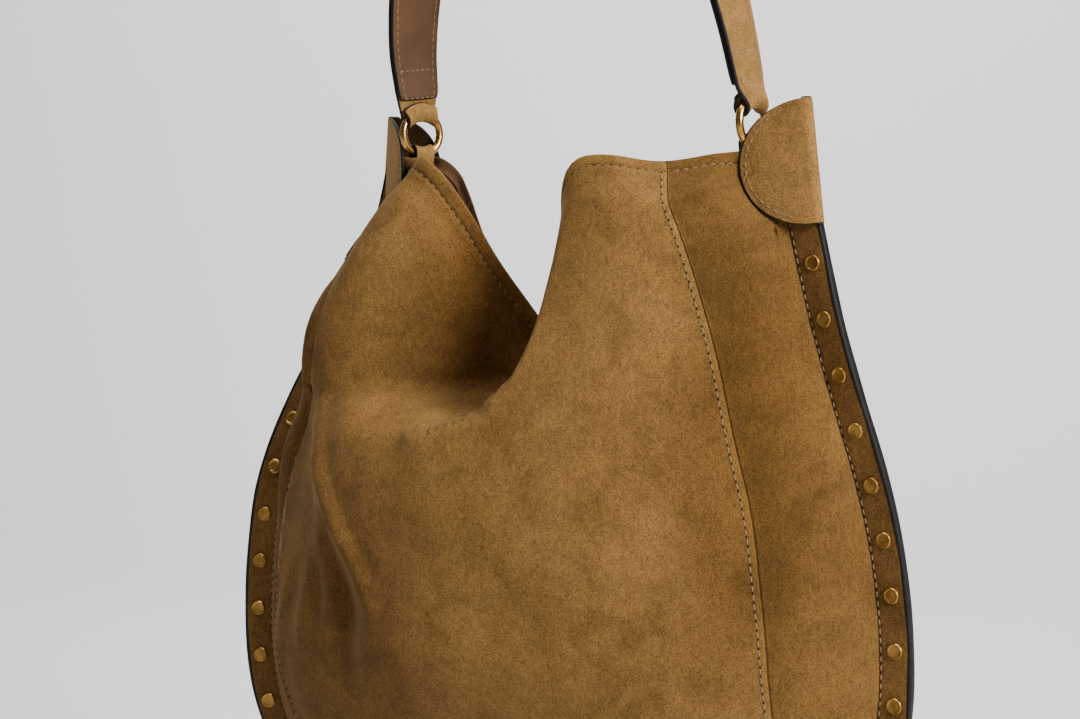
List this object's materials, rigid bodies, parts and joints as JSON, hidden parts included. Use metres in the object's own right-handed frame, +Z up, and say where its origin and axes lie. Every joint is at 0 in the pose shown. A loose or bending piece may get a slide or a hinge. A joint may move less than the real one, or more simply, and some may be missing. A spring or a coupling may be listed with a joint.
{
  "type": "hobo bag",
  "caption": "Slouchy suede hobo bag with a studded border, folded leather ears, brass rings and one wide shoulder strap.",
  "frame": {"origin": "underside of the strap's crown, where it lies over a hook or a shoulder", "axes": "+X along the line through the two rings, towards the bag's right end as seen from the front; -Y the front; +Z up"},
  "size_m": [0.4206, 0.1369, 0.658],
  "materials": {
    "suede": "olive-tan napped suede",
    "leather": "smooth brown",
    "brass": "aged, polished",
    "edge_paint": "dark navy edge paint",
    "lining": "dark woven"
  },
  "bodies": {
    "strap": {"strap_suede": "suede", "strap_lining": "leather"},
    "strap_end_left": {"strap_end_left_suede": "suede", "strap_end_left_lining": "leather"},
    "strap_end_right": {"strap_end_right_suede": "suede", "strap_end_right_lining": "leather"},
    "ring_left": {"ring_left": "brass"},
    "ring_right": {"ring_right": "brass"},
    "bag": {"ring_loop_left": "leather", "ring_loop_right": "leather", "ear_left": "suede", "ear_right": "suede", "front_left_panel": "suede", "front_centre_panel": "suede", "front_right_panel": "suede", "back_left_panel": "suede", "back_centre_panel": "suede", "back_right_panel": "suede", "edge_strip": "edge_paint", "stud_caps_front": "brass", "stud_caps_back": "brass", "stud_posts": "brass", "hem_facing_front": "leather", "hem_facing_back": "leather", "lining_front": "lining", "lining_back": "lining", "slip_pocket": "lining", "snap_socket": "brass", "snap_stud": "brass", "snap_washers": "brass"}
  },
  "joints": [
    {"name": "strap_end_left_flex", "type": "hinge", "parent": "strap", "child": "strap_end_left", "pos_m": [-0.11331, 0.02157, -0.17165], "axis": [0.2588, 0.9659, 0], "range_deg": [-10, 10]},
    {"name": "strap_end_right_flex", "type": "hinge", "parent": "strap", "child": "strap_end_right", "pos_m": [0.11031, 0.02112, -0.17165], "axis": [0.2588, 0.9659, 0], "range_deg": [-11, 11]},
    {"name": "ring_left_pivot", "type": "hinge", "parent": "strap_end_left", "child": "ring_left", "pos_m": [-0.11163, 0.02535, -0.20539], "axis": [0.2588, 0.9659, 0], "range_deg": [-11, 11]},
    {"name": "ring_right_pivot", "type": "hinge", "parent": "strap_end_right", "child": "ring_right", "pos_m": [0.11081, 0.02523, -0.20539], "axis": [0.2588, 0.9659, 0], "range_deg": [-11, 11]},
    {"name": "bag_swing", "type": "hinge", "parent": "ring_left", "child": "bag", "pos_m": [0, 0.02677, -0.218], "axis": [1, 0, 0], "range_deg": [-8, 8]}
  ],
  "couplings": [
    {"joint": "strap_end_right_flex", "follows": "strap_end_left_flex", "ratio": 1},
    {"joint": "ring_left_pivot", "follows": "strap_end_left_flex", "ratio": -1},
    {"joint": "ring_right_pivot", "follows": "strap_end_left_flex", "ratio": -1}
  ]
}
